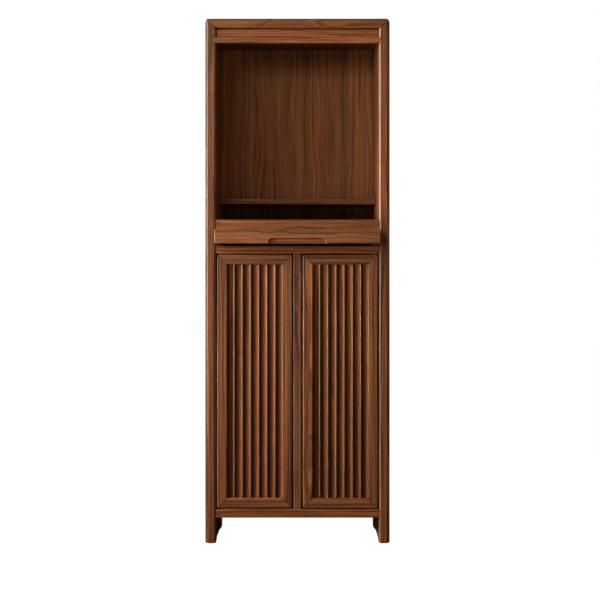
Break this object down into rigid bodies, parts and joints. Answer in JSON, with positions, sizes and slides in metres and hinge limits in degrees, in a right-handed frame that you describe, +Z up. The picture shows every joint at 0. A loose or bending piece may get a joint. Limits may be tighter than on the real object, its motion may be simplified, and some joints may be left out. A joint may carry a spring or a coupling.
{
  "type": "household altar cabinet",
  "caption": "Tall narrow walnut altar cabinet: open niche with a low shelf above, pull-out offering tray in the middle, fluted doors below.",
  "frame": {"origin": "on the floor under the middle of the whole outline, with the tray drawn out 130 mm as at rest", "axes": "+Z up the cabinet's height, -Y out of its front, +X to the right seen from the front"},
  "size_m": [0.68, 0.555, 1.935],
  "materials": {
    "walnut": "satin oiled walnut, mid brown, straight to wavy grain along each piece",
    "walnut_light": "satin oiled walnut, a little lighter, grain across the cabinet",
    "walnut_fluted": "satin oiled walnut, milled flutes, vertical grain",
    "walnut_veneer": "darker satin walnut veneer in vertical strips",
    "brass": "satin turned brass"
  },
  "bodies": {
    "cabinet": {"side_left": "walnut", "side_right": "walnut", "fascia_board": "walnut", "niche_shelf": "walnut", "upper_rail": "walnut", "cupboard_top": "walnut", "bottom_rail": "walnut", "cupboard_bottom": "walnut", "mullion": "walnut", "top_board": "walnut_light", "fascia_lip": "walnut_light", "table_board": "walnut_light", "niche_back_panel": "walnut_veneer", "cupboard_back_panel": "walnut_veneer"},
    "tray": {"tray_apron": "walnut_light", "tray_board": "walnut", "tray_batten_left": "walnut", "tray_batten_right": "walnut"},
    "door_left": {"door_left_outer_stile": "walnut", "door_left_inner_stile": "walnut", "door_left_bottom_rail": "walnut", "door_left_top_rail": "walnut", "door_left_panel": "walnut_fluted", "door_left_pin_bottom": "brass", "door_left_pin_top": "brass"},
    "door_right": {"door_right_outer_stile": "walnut", "door_right_inner_stile": "walnut", "door_right_bottom_rail": "walnut", "door_right_top_rail": "walnut", "door_right_panel": "walnut_fluted", "door_right_pin_bottom": "brass", "door_right_pin_top": "brass"}
  },
  "joints": [
    {"name": "tray_slide", "type": "slide", "parent": "cabinet", "child": "tray", "axis": [0, -1, 0], "range_m": [-0.1335, 0.12]},
    {"name": "door_left_hinge", "type": "hinge", "parent": "cabinet", "child": "door_left", "pos_m": [-0.285, -0.135, 0.1305], "axis": [0, 0, -1], "range_deg": [0, 105]},
    {"name": "door_right_hinge", "type": "hinge", "parent": "cabinet", "child": "door_right", "pos_m": [0.285, -0.135, 0.1305], "axis": [0, 0, 1], "range_deg": [0, 105]}
  ]
}
